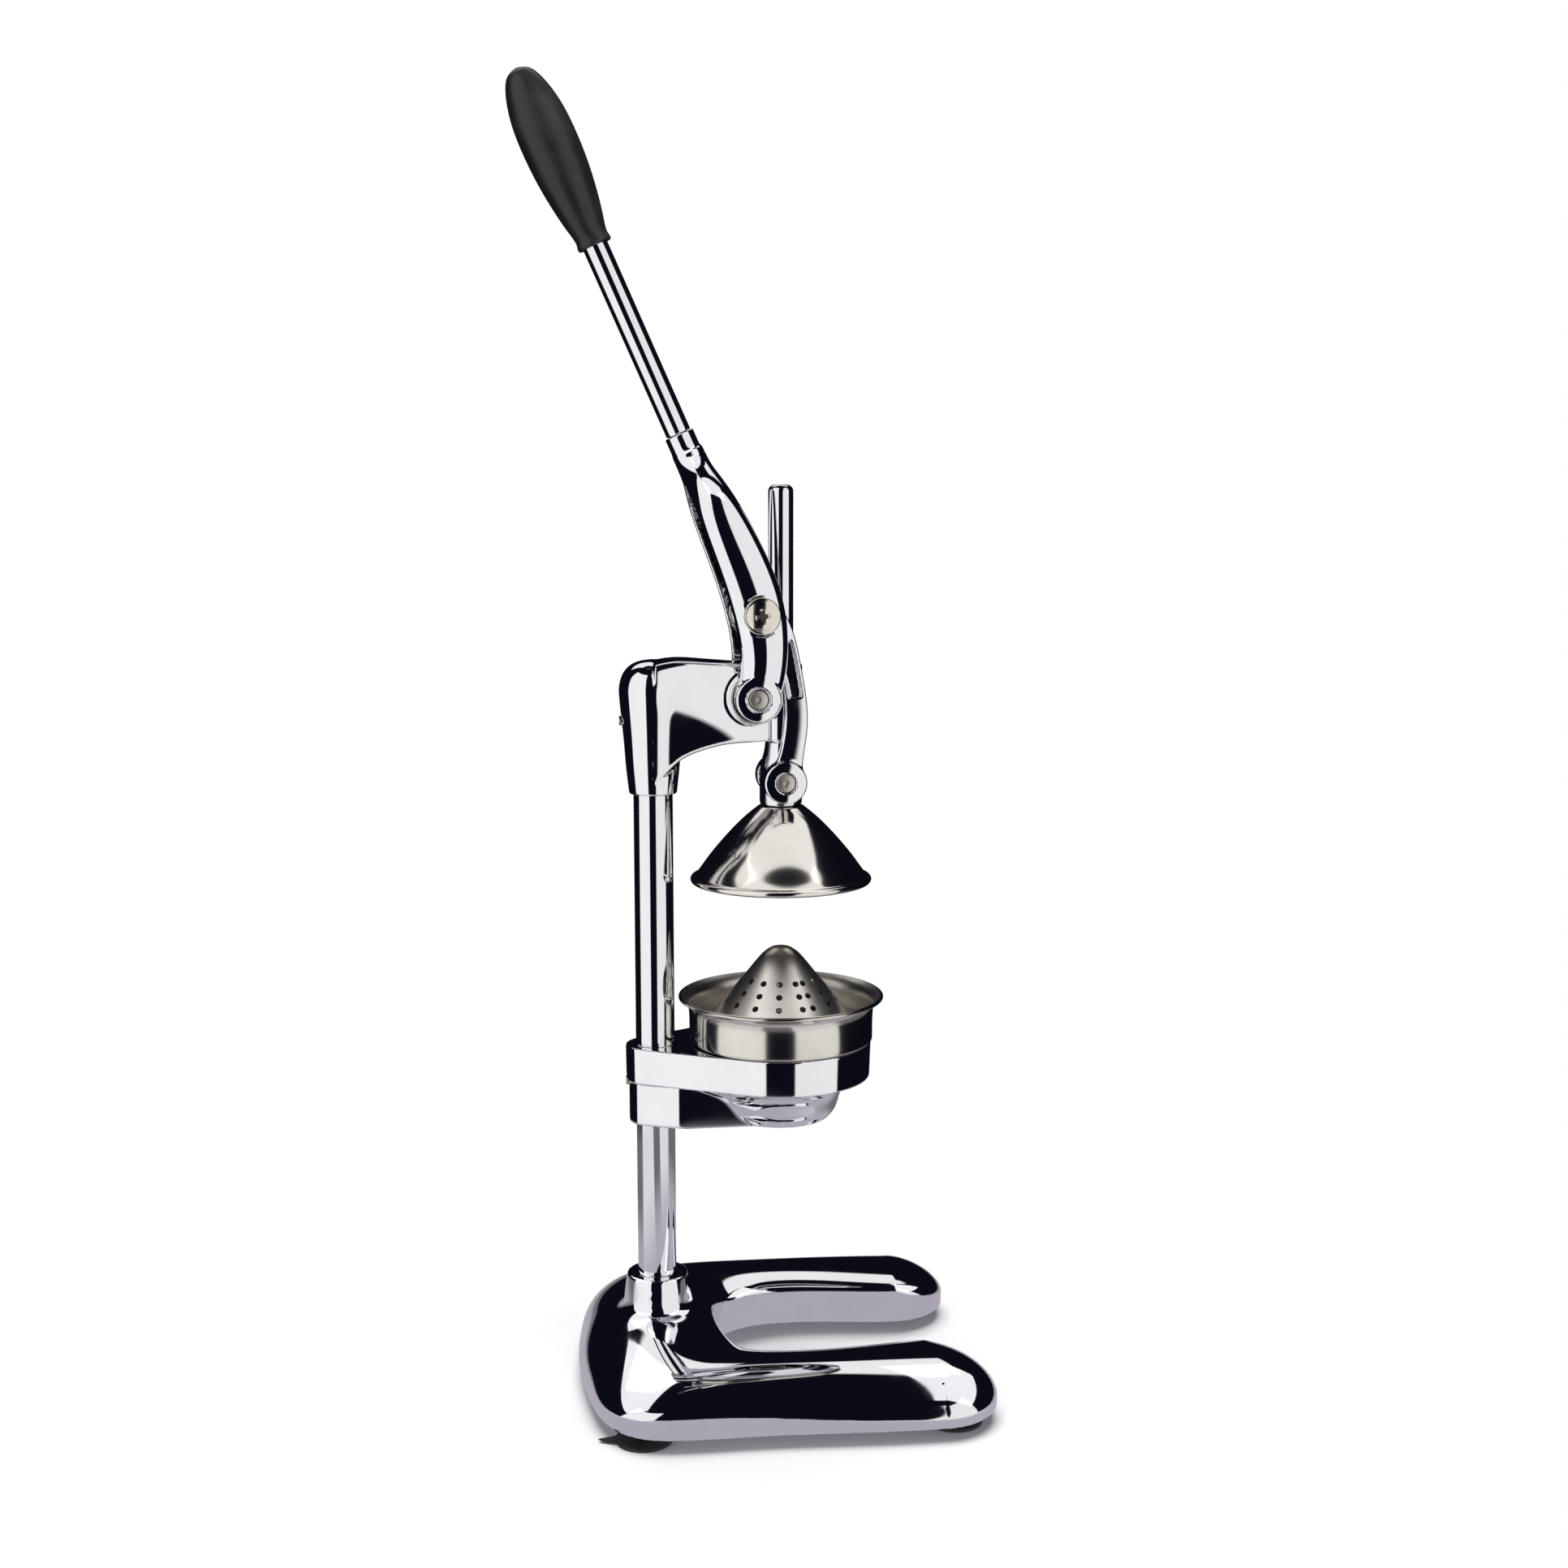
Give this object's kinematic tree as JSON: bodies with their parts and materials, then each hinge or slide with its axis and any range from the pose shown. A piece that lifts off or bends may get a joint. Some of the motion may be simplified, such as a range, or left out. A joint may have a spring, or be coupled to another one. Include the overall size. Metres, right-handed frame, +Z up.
{
  "type": "lever citrus juice press",
  "caption": "Hand-lever citrus press: a lever swings over the top and drives a bell down on a pierced strainer cone in a juice cup, on a column and a U-shaped base with suction feet.",
  "frame": {"origin": "on the table under the middle of the press's outline", "axes": "+Z up the column, +X to the front where the glass goes in and the user stands, +Y to the right-hand side of a user who stands in front and faces the press"},
  "size_m": [0.2582, 0.215, 0.7332],
  "materials": {
    "chrome": "mirror chrome on castings, column and rods",
    "polished_steel": "polished spun stainless steel",
    "satin_steel": "satin spun stainless steel",
    "nickel": "nickel-plated screws, pins and washers",
    "black_plastic": "moulded, semi-matte",
    "black_rubber": "soft matte rubber"
  },
  "bodies": {
    "frame": {"base_casting": "chrome", "suction_foot_front_left": "black_rubber", "suction_foot_front_right": "black_rubber", "suction_foot_back_left": "black_rubber", "suction_foot_back_right": "black_rubber", "foot_stud_front_left": "nickel", "foot_stud_front_right": "nickel", "foot_stud_back_left": "nickel", "foot_stud_back_right": "nickel", "column": "chrome", "column_bolt": "nickel", "column_washer": "nickel", "head_casting": "chrome", "head_set_screw": "nickel", "cup_holder": "chrome", "holder_set_screw": "nickel", "pivot_pin": "nickel", "pivot_washer_right": "nickel", "pivot_washer_left": "nickel"},
    "lever": {"lever_fork": "chrome", "handle_rod": "chrome", "grip": "black_plastic"},
    "links": {"link_arm_right": "chrome", "link_arm_left": "chrome", "link_screw_right": "nickel", "link_screw_left": "nickel", "link_pin_right": "nickel", "link_pin_left": "nickel"},
    "plunger": {"plunger_rod": "chrome", "plunger_block": "chrome", "press_bell": "polished_steel", "bell_washer": "nickel", "bell_nut": "nickel"},
    "cup": {"juice_cup": "satin_steel"},
    "strainer": {"strainer_cone": "satin_steel"}
  },
  "joints": [
    {"name": "lever_pivot", "type": "hinge", "parent": "frame", "child": "lever", "pos_m": [0.00216, 0, 0.398], "axis": [0, 1, 0], "range_deg": [0, 115]},
    {"name": "link_pivot", "type": "hinge", "parent": "lever", "child": "links", "pos_m": [0.00407, 0, 0.4437], "axis": [0, 1, 0], "range_deg": [-91.3, 0]},
    {"name": "plunger_slide", "type": "slide", "parent": "frame", "child": "plunger", "axis": [0, 0, -1], "range_m": [0, 0.0645]},
    {"name": "cup_lift", "type": "slide", "parent": "frame", "child": "cup", "axis": [0, 0, 1], "range_m": [0, 0.005]},
    {"name": "strainer_lift", "type": "slide", "parent": "cup", "child": "strainer", "axis": [0, 0, 1], "range_m": [0, 0.004]}
  ],
  "couplings": [
    {"joint": "link_pivot", "follows": "lever_pivot", "ratio": -0.79285},
    {"joint": "plunger_slide", "follows": "lever_pivot", "m_per_rad": 0.032123}
  ]
}
